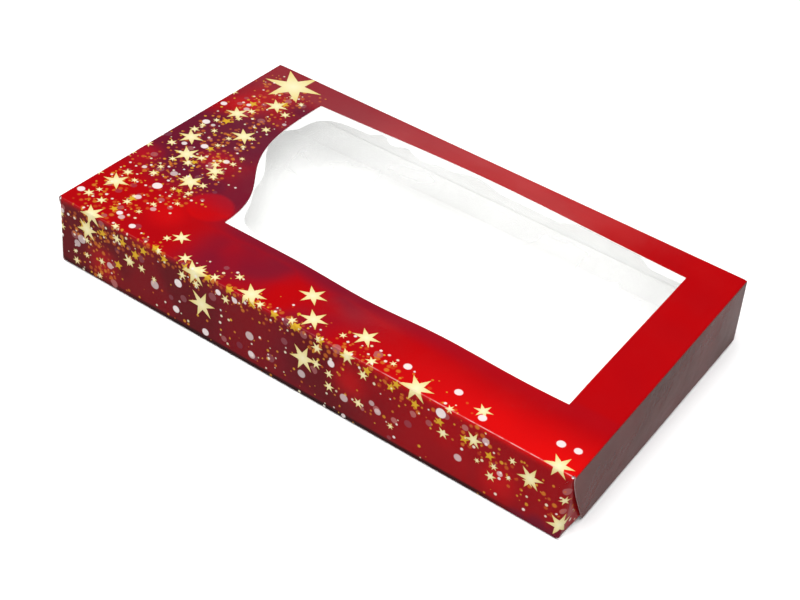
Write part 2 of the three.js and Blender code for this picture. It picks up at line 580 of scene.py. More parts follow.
class StarPrint:
    """Builds the print over a ground: soft discs, and the band of stars and dots."""

    def __init__(self, nodes, place, ground):
        self.nodes = nodes
        self.place = place
        self.ground = ground
        self.foil = 0.0

    def lay(self, mask, colour):
        self.ground = self.nodes.mix(mask, self.ground, colour)

    def scatter(self, cell, seed, randomness):
        """One random spot in each cell: the way from it, its place and three random numbers."""
        nodes = self.nodes
        shift = tuple(seed * step for step in SEED_SHIFT)
        shifted = nodes.vector("ADD", self.place, shift)
        spots = nodes.add("ShaderNodeTexVoronoi", {
            "Vector": shifted, "Scale": 1 / cell, "Randomness": randomness,
        }, voronoi_dimensions="2D").outputs
        from_spot = nodes.vector("SUBTRACT", shifted, spots["Position"])
        spot_place = nodes.vector("SUBTRACT", spots["Position"], shift)
        chances = nodes.add("ShaderNodeSeparateColor", {"Color": spots["Color"]}).outputs
        return from_spot, spot_place, [Field(nodes, chance) for chance in chances]

    def kept(self, spot_place, chance, share, band):
        """1 for the spots that the band, or its core, keeps."""
        thickness = self.nodes.group(BAND, {"Place": spot_place})[band]
        return chance < thickness * share

    def discs(self, cell, seed, radius, share, colours, strength, softness=DOT_SOFTNESS, band="Density"):
        """Round dots at random places; radius, colours and strength are ends that each dot lies between."""
        nodes = self.nodes
        from_spot, spot_place, (keep, grow, tone) = self.scatter(cell, seed, DISC_RANDOMNESS)
        edge = between(radius, grow) - nodes.vector("LENGTH", from_spot)
        mask = nodes.ramp(edge, -softness, softness) * self.kept(spot_place, keep, share, band)
        self.lay(mask * between(strength, tone), nodes.mix(tone, *colours))

    def lay_stars(self, mask, share, colours):
        """Stars with their first colour in the middle."""
        self.foil = self.nodes.largest(self.foil, mask)
        self.lay(mask, self.nodes.mix(share, *colours))

    def stars(self, star, cell, seed, radius, share, colours, band="Density"):
        """Stars at random places, their radius between two ends."""
        from_spot, spot_place, (keep, grow, _) = self.scatter(cell, seed, STAR_RANDOMNESS)
        shape = self.nodes.group(star, {"Place": from_spot, "Radius": between(radius, grow)})
        mask = shape["Mask"] * self.kept(spot_place, keep, share, band)
        self.lay_stars(mask, shape["Share"], colours)

    def chain(self, colours):
        """Gold stars at even steps along the front crease."""
        nodes = self.nodes
        u, _ = nodes.split(self.place)
        step = nodes.math("ROUND", (u - CHAIN_START) / CHAIN_STEP)
        spot_u = step * CHAIN_STEP + CHAIN_START
        spot_v = nodes.ramp(spot_u, -125, -50, -98, -90) + nodes.ramp(spot_u, 0, 150, 0, -16)
        spot = nodes.add("ShaderNodeCombineXYZ", {"X": spot_u, "Y": spot_v}).outputs["Vector"]
        local = nodes.vector("SUBTRACT", self.place, spot)
        shape = nodes.group(STAR_FIVE, {"Place": local, "Radius": CHAIN_RADIUS})
        mask = shape["Mask"] * (abs(u - CHAIN_MIDDLE) < CHAIN_HALF_LENGTH)
        self.lay_stars(mask, shape["Share"], colours)

    def placed_stars(self, stars, colours):
        """The large stars, each at its own place."""
        nodes = self.nodes
        mask = 0.0
        share = 1.0
        for u, v, radius in stars:
            local = nodes.vector("SUBTRACT", self.place, (u, v, 0.0))
            shape = nodes.group(STAR_SIX, {"Place": local, "Radius": radius})
            mask = nodes.largest(mask, shape["Mask"])
            share = nodes.math("MINIMUM", share, shape["Share"])
        self.lay_stars(mask, share, colours)

    def placed_discs(self, discs, colour, strength, softness=DOT_SOFTNESS):
        """Round dots, each at its own place."""
        nodes = self.nodes
        mask = 0.0
        for u, v, radius in discs:
            edge = radius - nodes.vector("DISTANCE", self.place, (u, v, 0.0))
            mask = nodes.largest(mask, nodes.ramp(edge, -softness, softness))
        self.lay(mask * strength, colour)


STAR_SIX = star_group("star_six", 6, 0.37, 13)
STAR_FIVE = star_group("star_five", 5, 0.46, 85)
BAND = band_group()

# Ink colours, linear
BRIGHT_RED = (0.345, 0.0012, 0.002)
LIGHT_RED = (0.54, 0.003, 0.0025)
DEEP_RED = (0.17, 0.0025, 0.006)
WINE = (0.095, 0.006, 0.018)
MAROON = (0.085, 0.0035, 0.006)
# Painted shadow, not an ink: the dark line along the front wall's foot, where it meets the floor
FOOT_PAINTED_SHADOW = (0.012, 0.004, 0.004)
CREAM = (0.62, 0.58, 0.36)
PALE_GOLD = (0.54, 0.42, 0.11)
DEEP_GOLD = (0.42, 0.23, 0.008)
AMBER = (0.48, 0.28, 0.02)
COPPER = (0.44, 0.15, 0.016)
ORANGE = (0.46, 0.075, 0.012)
PINK = (0.36, 0.13, 0.12)
MAUVE = (0.14, 0.05, 0.08)
WHITE_INK = (0.62, 0.55, 0.54)
# Pinkish white of the painted highlight along the front crease
CREASE_HIGHLIGHT_INK = (0.56, 0.33, 0.32)
# Painted shade of the end closures and tucks: the red print as it looks turned away from the light
END_PAINTED_SHADE = (0.03, 0.0092, 0.0058)

# Other colours, linear
BOARD_PALE = (0.935, 0.93, 0.915)
BOARD_WHITE = (0.955, 0.95, 0.94)
BOARD_FIBRE = (0.90, 0.895, 0.875)
CORE = (0.90, 0.88, 0.85)
INKED_CORE = (0.78, 0.64, 0.62)
# Painted shade: the ends' cut edges are the same board core as elsewhere, darkened as though in shade
END_CORE_PAINTED_SHADE = (0.22, 0.13, 0.13)
INKED_END_CORE_PAINTED_SHADE = (0.12, 0.04, 0.04)
FILM_GREY = (0.95, 0.955, 0.945)
FILM_WHITE = (0.97, 0.975, 0.97)
GLUE_YELLOW = (0.78, 0.74, 0.60)
GLUE_PALE = (0.86, 0.83, 0.72)
FLOOR_GREY = (0.89, 0.89, 0.89)
FLOOR_PALE = (0.91, 0.91, 0.91)

# Indices of refraction, low for a faint shine
PRINT_GLOSS = 1.1
END_GLOSS = 1.085
FILM_GLOSS = 1.13

# Chain of gold stars along the front crease
CHAIN_START = -120.5
CHAIN_STEP = 13.5
CHAIN_RADIUS = 2.7
CHAIN_MIDDLE = -6
CHAIN_HALF_LENGTH = 121

# Large stars: place on the unfolded sheet and radius
LARGE_STARS = (
    (-129, 75, 17.5), (-123, 52, 7), (-134, 31, 7), (-117, 16, 7.5), (-137, -4, 7.5),
    (-128, -18, 7.5), (-107, -20, 5.5), (-110, -36, 7.5), (-138, -61, 7.5), (-128, -90, 7.5),
    (-131, -101, 7), (-82, -75, 5.2), (-103, -106, 4), (-70, -86, 4), (-61, -91, 8),
    (-56, -108, 8.5), (-29, -86, 8), (-7, -67, 7.5), (4, -81, 7.5), (6, -106, 8),
    (30, -75, 7.2), (30, -91, 4.6), (67, -88, 8.5), (98, -81, 4.8), (100, -99, 4.8),
    (130, -103, 6.8), (141, -88, 7.2), (148, -121, 6.5),
)

# Discs, glows and dots: place on the unfolded sheet and radius
RED_DISCS = (
    (-88, -46, 12),
)
RED_GLOWS = (
    (-137, 42, 8), (-113, -12, 8), (-146, -32, 7), (-100, -65, 9), (-121, -117, 8),
    (32, -105, 8), (116, -115, 8),
)
# Painted shade: dark wine patches low on the front wall's right end, where the wall is dented
DENT_PAINTED_SHADES = (
    (128, -130, 5), (138, -128, 6), (147, -127, 5),
)
WHITE_DISCS = (
    (-146, 34, 1.8), (-141, 13, 2.1), (-126, -6, 2), (-120, -50, 2.6), (-146, -78, 2),
    (-118, -80, 1.6), (-106, -84, 1.7), (-71, -103, 2.3), (-72, -120, 2), (-53, -124, 2),
    (-46, -95, 1.6), (22, -100, 1.9), (56, -79, 2), (83, -78, 2), (82, -94, 2.6),
    (100, -85, 2), (135, -76, 2.1), (143, -75, 1.9),
)
GREY_DISCS = (
    (-133, 38, 1.7), (-121, -36, 2), (-115, -82, 1.7), (-135, -109, 2.5), (-138, -113, 2),
    (-116, -116, 1.9), (-86, -112, 2.5), (-26, -111, 2.4), (-24, -122, 2), (6, -116, 2.2),
    (31, -116, 2.2), (50, -113, 1.8), (94, -114, 2), (106, -96, 1.8),
)


def print_ground(nodes, place):
    """The red ink, going to wine on the left and back of the top and to maroon on the front wall, with a
    painted highlight beside the front crease and a painted shadow along the wall's foot.
    """
    ramp = nodes.ramp
    u, v = nodes.split(place)
    clouds = ramp(nodes.noise(place, 0.019, 2.0, 0.4), 0.32, 0.54)
    not_back = ramp(v, 56, 68, 1, 0.4)
    wall = ramp(v, -94, -89, 1, 0)
    left = ramp(u, -90, -45, 1, 0) * ramp(v, -58, -28, 0.05, 1)
    front = ramp(v, -60, -48, 0.75, 0) * ramp(u, -88, -60) * ramp(u, -5, 50, 1, 0)
    cloudy = clouds * nodes.largest(left, front) * not_back
    back = ramp(v, 58, 68) * ramp(u, -110, 40, 0.45, 0)
    beside_window = ramp(u, -116, -86) * ramp(u, -70, -45, 1, 0)
    beside_window = beside_window * ramp(v, -54, -34, 0, 0.85) * not_back
    before_window = ramp(v, -66, -53, 0, 0.75) * ramp(v, -50, -46, 1, 0)
    before_window = before_window * ramp(u, -10, 110, 1, 0.15) * ramp(u, -92, -60)
    wine = nodes.largest(cloudy, beside_window, before_window, back)
    shade = nodes.noise(place, 0.03, 1.0) * 0.4 + left * 0.35 + wall * ramp(u, 0, 80, 0.7, 0.3)
    # Painted highlight: lighter red on the top beside the right half of the front crease, where the panel
    # curves towards the light
    painted_sheen = ramp(v, -86, -56, 1, 0) * ramp(u, 20, 90) * ramp(v, -93, -89)
    red = nodes.mix(painted_sheen, BRIGHT_RED, LIGHT_RED)
    ground = nodes.mix(wine, nodes.mix(shade, red, DEEP_RED), WINE)
    maroon = nodes.largest(clouds, 0.55) * wall * ramp(u, 15, 75, 1, 0.3)
    ground = nodes.mix(maroon, ground, MAROON)
    # Painted shadow: a dark line along the front wall's foot, fading at its ends
    painted_foot_shadow = ramp(v, -127.2, -125.4, 1, 0) * ramp(u, -120, -70, 0.6, 0.92)
    return nodes.mix(painted_foot_shadow * ramp(u, 100, 135, 1, 0.4), ground, FOOT_PAINTED_SHADOW)


def star_print(nodes, place):
    """Colour of the printed face and where its stars are."""
    ground = print_ground(nodes, place)
    art = StarPrint(nodes, place, ground)
    art.discs(34, 3, (8, 15), 0.5, (BRIGHT_RED, BRIGHT_RED), (0.3, 0.7), 1.2)
    _, v = nodes.split(place)
    art.ground = nodes.mix(nodes.ramp(v, -92, -86), ground, art.ground)
    art.placed_discs(RED_DISCS, LIGHT_RED, 0.28, 1.4)
    art.placed_discs(RED_GLOWS, LIGHT_RED, 0.35, 7)
    # painted shade of the dent low on the front wall's right end
    art.placed_discs(DENT_PAINTED_SHADES, WINE, 0.75, 3)
    art.discs(9, 5, (1.1, 2.4), 0.5, (MAUVE, PINK), (0.3, 0.65))
    art.discs(3.3, 29, (0.4, 1.25), 0.9, (ORANGE, COPPER), (0.3, 0.85), 0.45, "Core")
    art.discs(2.9, 7, (0.2, 0.75), 0.3, (ORANGE, AMBER), (0.5, 0.95))
    art.discs(5.2, 11, (0.35, 0.95), 0.35, (ORANGE, AMBER), (0.5, 0.95))
    art.placed_discs(GREY_DISCS, WHITE_INK, 0.5)
    art.stars(STAR_FIVE, 12, 13, (2.1, 3.2), 0.4, (AMBER, DEEP_GOLD), "Core")
    art.chain((AMBER, DEEP_GOLD))
    art.stars(STAR_SIX, 9, 17, (1.6, 3.5), 0.7, (CREAM, PALE_GOLD))
    art.placed_stars(LARGE_STARS, (CREAM, PALE_GOLD))
    art.discs(14, 19, (1.1, 2.2), 0.22, (WHITE_INK, WHITE_INK), (0.4, 0.9))
    art.placed_discs(WHITE_DISCS, WHITE_INK, 0.92)
    art.discs(5.0, 23, (0.25, 0.8), 0.6, (CREAM, WHITE_INK), (0.8, 0.95))
    return art.ground, art.foil


def new_material(name):
    material = bpy.data.materials.new(name)
    material.use_nodes = True
    return material, Nodes(material.node_tree), material.node_tree.nodes["Principled BSDF"]


def add_relief(nodes, shader, height, strength, depth):
    """Bumps that are too small for the mesh."""
    relief = nodes.add("ShaderNodeBump", {"Height": height, "Strength": strength, "Distance": depth * MM})
    nodes.set(shader, {"Normal": relief.outputs["Normal"]})


def crease_highlight_and_wear(nodes, place):
    """A thin line along the front crease, mostly on its right half: in the colour a painted highlight on the
    fold, in roughness and relief a rubbed edge.
    """
    u, v = nodes.split(place)
    line = nodes.ramp(abs(v - FRONT_CREASE_V), 0.04, 0.24, 1, 0) * nodes.ramp(u, 15, 75, 0.1, 1)
    return line * nodes.ramp(nodes.noise(place, 0.16, 4.0, 0.6), 0.36, 0.56, 0.25, 1)


def printed_material(name, gloss, painted_shade=None):
    """Coated board with the star print; gloss is its index of refraction, and a painted shade, when given,
    darkens the print on the end closures and tucks, which face away from the light.
    """
    material, nodes, shader = new_material(name)
    place = nodes.print_place()
    colour, foil = star_print(nodes, place)
    # Painted shade: from the end crease on, the print darkens towards the given colour
    if painted_shade:
        u, _ = nodes.split(place)
        clouds = nodes.ramp(nodes.noise(place, 0.012), 0.3, 0.7, 0.8, 0.95)
        colour = nodes.mix(clouds * nodes.ramp(abs(u) - END_CREASE_U, 0.0, 0.6), colour, painted_shade)
    # Painted highlight along the front crease, which also roughens and lowers the surface as a rubbed edge
    highlight_and_wear = crease_highlight_and_wear(nodes, place)
    smudge = nodes.noise(place, 0.035, 4.0, 0.6)
    nodes.set(shader, {
        "Base Color": nodes.mix(highlight_and_wear * 0.75, colour, CREASE_HIGHLIGHT_INK),
        "Roughness": nodes.ramp(smudge, 0.3, 0.75, 0.16, 0.26) + highlight_and_wear * 0.2 - foil * 0.05,
        "IOR": gloss,
    })
    grain = nodes.noise(place, 1.4, 3.0)
    cockle = nodes.noise(place, 0.05, 2.0)
    add_relief(nodes, shader, cockle * 6.0 + grain * 0.12 - highlight_and_wear * 0.3, 0.12, 0.4)
    return material


def inner_board_material():
    """Bare white board: matt, with faint fibres."""
    material, nodes, shader = new_material("inner_board")
    place = nodes.print_place()
    fibres = nodes.noise(nodes.vector("MULTIPLY", place, (0.35, 2.2, 1.0)), 0.9, 5.0, 0.7)
    clouds = nodes.noise(place, 0.03, 3.0)
    colour = nodes.mix(clouds, BOARD_PALE, BOARD_WHITE)
    nodes.set(shader, {
        "Base Color": nodes.mix(nodes.ramp(fibres, 0.35, 0.75, 0.0, 0.3), colour, BOARD_FIBRE),
        "Roughness": nodes.ramp(fibres, 0.3, 0.7, 0.72, 0.86),
    })
    add_relief(nodes, shader, fibres, 0.15, 0.2)
    return material


def cut_edge_material(name, core, ink):
    """The board's core at its cut edges, with a little ink dragged over it."""
    material, nodes, shader = new_material(name)
    fuzz = nodes.noise(nodes.print_place(), 0.8, 4.0, 0.7)
    nodes.set(shader, {
        "Base Color": nodes.mix(nodes.ramp(fuzz, 0.4, 0.8), core, ink),
        "Roughness": nodes.ramp(fuzz, 0.3, 0.7, 0.75, 0.9),
    })
    add_relief(nodes, shader, fuzz, 0.3, 0.2)
    return material


def film_material():
    """Clear film with a faint white veil, a painted reflection of the bright room, and a wavy white strip
    along the window's sides, a painted highlight where the film ripples.
    """
    material, nodes, shader = new_material("window_film")
    ramp = nodes.ramp
    place = nodes.print_place()
    from_left, from_back = nodes.split(place)
    from_front = WINDOW_BACK - WINDOW_FRONT - from_back
    bulge = ramp(abs(from_back - FILM_LEFT_BULGE), 0, 22, 4.8, 0)
    left_width = ramp(from_back, 24, 34, 4.5, 0) + bulge + ramp(from_back, 84, 104, 0, 2)
    back_width = ramp(from_left, 156, 168, 4.8, 0) + ramp(from_left, 202, 214, 0, 5)
    for notch, half_width, depth in FILM_NOTCHES:
        back_width = back_width - ramp(abs(from_left - notch), 0, half_width, depth, 0)
    gap = nodes.math("SMOOTH_MIN", from_left - left_width, from_back - back_width, FILM_CORNER)
    gap = nodes.math("SMOOTH_MIN", gap, from_front - FILM_FRONT_STRIP, FILM_CORNER)
    # Painted highlight: the wavy white strip where the film ripples beside the window's left and back sides
    strip = ramp(gap, -0.6, 0.4, 1, 0)
    haze = nodes.noise(place, 0.02, 3.0)
    beside = nodes.math("MINIMUM", from_left, from_back)
    # Painted reflection: a faint white veil over the whole film, thinner near the left and back
    painted_reflection_veil = ramp(haze, 0.3, 0.7, 0.23, 0.28) * ramp(beside, 0, 18, 0.68, 1)
    nodes.set(shader, {
        "Base Color": nodes.mix(haze, FILM_GREY, FILM_WHITE),
        "Roughness": ramp(haze, 0.3, 0.7, 0.05, 0.12),
        "Alpha": strip * 0.46 + painted_reflection_veil,
        "IOR": FILM_GLOSS,
    })
    return material


def glue_material():
    """Dried clear glue: faintly yellow, satin and a little uneven."""
    material, nodes, shader = new_material("glue")
    lumps = nodes.noise(nodes.add("ShaderNodeTexCoord").outputs["Object"], 180.0, 3.0)
    nodes.set(shader, {
        "Base Color": nodes.mix(lumps, GLUE_YELLOW, GLUE_PALE),
        "Roughness": nodes.ramp(lumps, 0.3, 0.7, 0.25, 0.5),
    })
    add_relief(nodes, shader, lumps, 0.3, 0.2)
    return material


# Places on the unfolded sheet: u runs along the box, v across its top and down its walls
CREASE_LENGTH = QUARTER * CREASE
FRONT_CREASE_V = -(TOP_HALF_FLAT + CREASE_LENGTH / 2)
END_CREASE_U = TOP_END_X + CREASE_LENGTH / 2
WALL_TOP_V = TOP_HALF_FLAT + CREASE_LENGTH

PRINTED = printed_material("printed_board", PRINT_GLOSS)
# The ends' board carries a painted shade over its print
END_PRINTED_SHADED = printed_material("end_board", END_GLOSS, END_PAINTED_SHADE)
INNER = inner_board_material()
CUT_EDGE = cut_edge_material("cut_edge", CORE, INKED_CORE)
# Cut edges of the ends, with painted shade on the board's core
END_CUT_EDGE_SHADED = cut_edge_material("end_cut_edge_painted_shade", END_CORE_PAINTED_SHADE, INKED_END_CORE_PAINTED_SHADE)
FILM_CLEAR = film_material()
GLUE_CLEAR = glue_material()
BOARD_FINISH = (PRINTED, INNER, CUT_EDGE)
# The ends' finish: print and cut edges with painted shade
END_SHADED_FINISH = (END_PRINTED_SHADED, INNER, END_CUT_EDGE_SHADED)


# Window


def window_left(grow=0.0):
    """The window's curved left side from back to front, moved out by grow."""
    back = WINDOW_BACK + grow
    front = WINDOW_FRONT - grow
    corners = np.array([
        (WINDOW_LEFT_AT_BACK - grow, back),
        (WINDOW_LEFT_AT_BACK - grow - WINDOW_BACK_BOW, back - WINDOW_BACK_HANDLE),
        (WINDOW_LEFT_AT_FRONT - grow, front + WINDOW_FRONT_HANDLE),
        (WINDOW_LEFT_AT_FRONT - grow, front),
    ])
    t = np.linspace(0, 1, WINDOW_CURVE_STEPS + 1)[:, None]
    weights = np.hstack([(1 - t) ** 3, 3 * (1 - t) ** 2 * t, 3 * (1 - t) * t ** 2, t ** 3])
    return weights @ corners


def window_left_at(y):
    """The curve's x at a given y; past the window's ends it runs straight on."""
    curve = window_left()
    return np.interp(-y, -curve[:, 1], curve[:, 0])


def cells_round_window(across, first_row, left_parts, middle_parts):
    """Which cells of a grid are there: all but the window's."""
    rows, count = across.shape
    present = np.ones((rows - 1, count - 1), bool)
    hole_from = len(left_parts) - 1
    hole_to = hole_from + len(middle_parts) - 1
    present[first_row:first_row + WINDOW_CURVE_STEPS, hole_from:hole_to] = False
    return present


def top_bow(x, y):
    """How far the top panel stands above its flat: its free edges sag and lift along the window."""
    front_edge = np.exp(-((y - WINDOW_FRONT) / FRONT_SAG_REACH) ** 2)
    sag = sum(bump(x, *row) for row in FRONT_SAGS)
    strip = TOP_HALF_FLAT - WINDOW_BACK
    from_crease = np.clip((TOP_HALF_FLAT - y) / strip, 0, 1) ** BACK_LIFT_POWER
    past_edge = np.exp(-((y - WINDOW_BACK) / BACK_LIFT_REACH) ** 2)
    back_edge = np.where(y > WINDOW_BACK, from_crease, past_edge)
    left_edge = np.exp(-((x - window_left_at(y)) / LEFT_SAG_REACH) ** 2)
    waves = wave(x, *TOP_WAVE_ALONG) * wave(y, *TOP_WAVE_ACROSS)
    ends = smoothstep(TOP_HELD_AT_ENDS, TOP_END_X - np.abs(x))
    sides = smoothstep(TOP_HELD_AT_SIDES, TOP_HALF_FLAT - np.abs(y))
    inner = (waves - sag * front_edge - bump(y, *LEFT_SAG) * left_edge) * sides
    return (inner + bump(x, *BACK_LIFT) * back_edge) * ends


def wall_bow(x, z):
    """How far the front wall stands proud of its flat."""
    height = np.sin(np.pi * np.clip((z - WALL_FLAT_BOTTOM) / (WALL_FLAT_TOP - WALL_FLAT_BOTTOM), 0, 1))
    ends = smoothstep(WALL_HELD_AT_ENDS, WALL_END_X - np.abs(x))
    return sum(wave(x, *row) for row in WALL_WAVES) * height * ends


def fold_radius(z, side, wall):
    """Radius of the fold between a wall and its dust flap at a given height."""
    below_top = smoothstep(ROUND_FOLD_FADE, WALL_FLAT_TOP - z)
    above_bottom = smoothstep(ROUND_FOLD_FADE, z - WALL_FLAT_BOTTOM)
    rounding = ROUND_FOLD - CREASE if side > 0 and wall < 0 else 0
    return CREASE + rounding * below_top * above_bottom


# The tube: back wall, top, front wall, bottom and glue flap are one folded sheet


def add_tube():
    curve = window_left()
    back_strip = run(TOP_HALF_FLAT - WINDOW_BACK, soft_end=1.5, step=3)
    front_strip = run(WINDOW_FRONT + TOP_HALF_FLAT, soft_end=1.5, step=3)
    top_stations = np.concatenate([
        back_strip,
        TOP_HALF_FLAT - curve[1:, 1],
        TOP_HALF_FLAT - WINDOW_FRONT + front_strip,
    ])
    path = FoldedPath((WALL_Y, BACK_WALL_FOOT), (0, 1), -1)
    path.straight(run(WALL_FLAT_TOP - BACK_WALL_FOOT), "back")
    for name, stations in (
        ("top", top_stations),
        ("front", run(WALL_FLAT_TOP - WALL_FLAT_BOTTOM)),
        ("bottom", run(GLUE_FLAP_Y + WALL_Y - 2 * CREASE, step=8)),
        ("flap", run(glue_flap_high.z - WALL_FLAT_BOTTOM)),
    ):
        path.turn(QUARTER, CREASE)
        path.straight(stations, name)
    top, front, bottom, flap = (path.spans[name] for name in ("top", "front", "bottom", "flap"))

    points = np.array(path.points)
    rows = len(points)
    ends = np.full(rows, WALL_END_X)
    ends[top] = TOP_END_X
    ends[bottom] = BOTTOM_END_X
    ends[bottom.stop:flap.start] = glue_flap_high.x
    flap_share = (points[flap, 1] - WALL_FLAT_BOTTOM) / (glue_flap_high.z - WALL_FLAT_BOTTOM)
    ends[flap] = glue_flap_high.x - GLUE_FLAP_TAPER * flap_share
    left = np.full(rows, WINDOW_LEFT_AT_FRONT)
    left[:top.start] = WINDOW_LEFT_AT_BACK
    left[top] = window_left_at(points[top, 0])
    right_ends = ends.copy()
    right_ends[front] = DUST_X - fold_radius(points[front, 1], 1, -1)
    bounds = np.stack([-ends, left, np.full(rows, WINDOW_RIGHT), right_ends], axis=1)
    left_parts = np.concatenate([[0, 0.01, 0.05], np.linspace(0.12, 1, 14)])
    middle_parts = np.linspace(0, 1, WINDOW_COLUMNS)
    right_parts = np.concatenate([np.linspace(0, 0.82, 7), [0.93, 0.985, 1]])
    across = columns(bounds, left_parts, middle_parts, right_parts)
    middle, normal = sheet_grid(path, across, [1, 2], 0)

    x, y, z = np.moveaxis(middle, 2, 0)
    bow = np.zeros(across.shape)
    bow[top] = top_bow(x[top], y[top])
    bow[front] = wall_bow(x[front], z[front])
    middle += normal * bow[..., None]

    along = np.array(path.along)
    v = along[top.start] + TOP_HALF_FLAT - along
    print_uv = np.stack([across, np.broadcast_to(v[:, None], across.shape)], axis=2)

    present = cells_round_window(across, top.start + len(back_strip), left_parts, middle_parts)
    rim = np.full(across.shape, CUT)
    rim[:front.stop, (0, -1)] = OUTSIDE
    rim[-1] = INSIDE
    tube = add_sheet("carton_tube", middle, normal, print_uv, BOARD, BOARD_FINISH, present, rim)
    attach(tube, "tube")
    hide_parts("top_panel", "front_wall", "back_wall", "bottom_panel", "glue_flap")


# End closures, tuck flaps and dust flaps


def closure_twist(across, below):
    """How far the closure's twist moves it out: more towards its back and its lower edge."""
    towards_back = (across + HALF_WIDTH) / (2 * HALF_WIDTH)
    return (math.tan(CLOSURE_TWIST) * below * towards_back)[..., None]


def add_end_sheet(name, side, middle, normal, u, across, rim):
    """A sheet of the right end, or its mirror image for the left one; u is the rows' place in the print."""
    print_uv = np.stack([np.broadcast_to(side * u[:, None], across.shape), across], axis=2)
    mirror = np.array([side, 1, 1])
    return add_sheet(name, middle * mirror, normal * mirror, print_uv, BOARD, END_SHADED_FINISH, rim=rim)


def add_closure(side, name):
    """Closure panel with its crease to the top; returns its path for the tuck flap."""
    t = np.linspace(0, 1, CLOSURE_CURVE_STEPS + 1)
    start_drop = (1 - t) ** 2 * (CLOSURE_SHOULDER - CREASE)
    curve_drop = start_drop + 2 * (1 - t) * t * (CLOSURE_CURVE_DROP - CREASE) + t ** 2 * CLOSURE_DROP
    curve_inset = 2 * (1 - t) * t * CLOSURE_CURVE_INSET + t ** 2 * CLOSURE_CORNER_INSET
    path = FoldedPath((TOP_END_X, TOP_Z), (1, 0), 1)
    path.turn(-(QUARTER - CLOSURE_SPRING), CREASE)
    path.straight(curve_drop, "panel")
    panel_start = path.spans["panel"].start
    rows = len(path.points)
    widen = np.minimum(np.arange(rows) / panel_start, 1)
    half_side = TOP_HALF_FLAT + (closure_high.y - TOP_HALF_FLAT) * widen
    inset = np.zeros(rows)
    inset[panel_start + 1:] = curve_inset
    bounds = np.stack([-half_side + inset, half_side], axis=1)
    across = columns(bounds, np.linspace(0, 1, CLOSURE_COLUMNS))
    middle, normal = sheet_grid(path, across, [0, 2], 1)
    along = np.array(path.along)
    below = np.clip(along - along[panel_start], 0, None)[:, None]
    swell = np.sin(np.pi * below / CLOSURE_DROP) * np.cos(np.pi * across / CLOSURE_BULGE_WIDTH)
    middle += normal * ((CLOSURE_BULGE * swell)[..., None] + closure_twist(across, below))
    rim = np.full(across.shape, CUT)
    rim[0] = OUTSIDE
    on_tuck = (across[-1] > tuck_low.y - TUCK_MARGIN) & (across[-1] < tuck_high.y + TUCK_MARGIN)
    rim[-1, on_tuck] = OUTSIDE
    piece = add_end_sheet(f"{name}_closure", side, middle, normal, TOP_END_X + along, across, rim)
    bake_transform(piece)
    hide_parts(f"{name}_closure_panel")
    return path


def add_tuck(side, name, closure_path):
    """Tuck flap, folded in from the closure's lower edge."""
    start = closure_path.points[-1]
    path = FoldedPath(start, closure_path.headings[-1], 1)
    path.turn(-(QUARTER + TUCK_RISE + CLOSURE_SPRING), TUCK_CREASE)
    corner_start = TUCK_DEPTH - TUCK_CORNER_DEPTH
    path.straight(np.concatenate([[0.4, 1.5, 3.0], np.linspace(corner_start, TUCK_DEPTH, 7)]), "flap")
    flap_start = path.spans["flap"].start
    along = np.array(path.along)
    taper = np.clip((along - along[flap_start] - TUCK_DEPTH + TUCK_CORNER_DEPTH) / TUCK_CORNER_DEPTH, 0, 1)
    inset = TUCK_CORNER_INSET * taper ** TUCK_CORNER_POWER
    bounds = np.stack([tuck_low.y + inset, tuck_high.y - inset], axis=1)
    across = columns(bounds, np.linspace(0, 1, TUCK_COLUMNS))
    middle, normal = sheet_grid(path, across, [0, 2], 1)
    middle += normal[0] * closure_twist(across, CLOSURE_DROP)
    u = TOP_END_X + closure_path.along[-1] + along
    rim = np.full(across.shape, CUT)
    rim[0] = OUTSIDE
    piece = add_end_sheet(f"{name}_tuck", side, middle, normal, u, across, rim)
    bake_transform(piece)
    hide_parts(f"{name}_tuck_flap")


def add_dust(side, name, wall):
    """Dust flap with its crease to the front (wall -1) or back (wall +1) wall."""
    fold = np.linspace(0, QUARTER, 2 * TURN_STEPS)
    angles = np.concatenate([fold, np.full(len(DUST_ROWS), QUARTER)])
    out_shares = np.concatenate([np.zeros(len(fold)), DUST_ROWS])
    reach = dust_high.y + WALL_Y - CREASE
    low = dust_low.z + out_shares * reach * math.tan(DUST_BOTTOM_SLOPE)
    high = dust_high.z - out_shares * reach * math.tan(DUST_TOP_SLOPE)
    bounds = np.stack([low, np.maximum(high, low + DUST_TIP_HEIGHT)], axis=1)
    z = columns(bounds, np.linspace(0, 1, DUST_COLUMNS))
    bend = fold_radius(z[0], side, wall)
    turn = angles[:, None]
    x = DUST_X - bend * (1 - np.sin(turn))
    out = out_shares[:, None] * (dust_high.y + WALL_Y - bend)
    y = -WALL_Y + bend * (1 - np.cos(turn)) + out
    x = x + math.tan(DUST_SPRING) * (WALL_FLAT_TOP - z) * smoothstep(DUST_SPRING_REACH, out)
    middle = np.stack([x, y, z], axis=2)
    normal = np.stack(np.broadcast_arrays(np.sin(turn), -np.cos(turn), np.zeros_like(z)), axis=2)
    turned = np.array([side, -wall, 1])
    u = DUST_X - bend + bend * turn + out
    wall_v = -(WALL_TOP_V + WALL_FLAT_TOP - z)
    print_uv = np.stack([side * u, -wall * wall_v], axis=2)
    rim = np.full(z.shape, CUT)
    rim[0] = OUTSIDE
    wall_name = "front" if wall < 0 else "back"
    body = f"{name}_{wall_name}_dust"
    piece = add_sheet(
        f"{body}_flap_board", middle * turned, normal * turned, print_uv, BOARD, BOARD_FINISH, rim=rim,
    )
    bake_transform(piece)
    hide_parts(f"{body}_flap")


# Window film and its glue


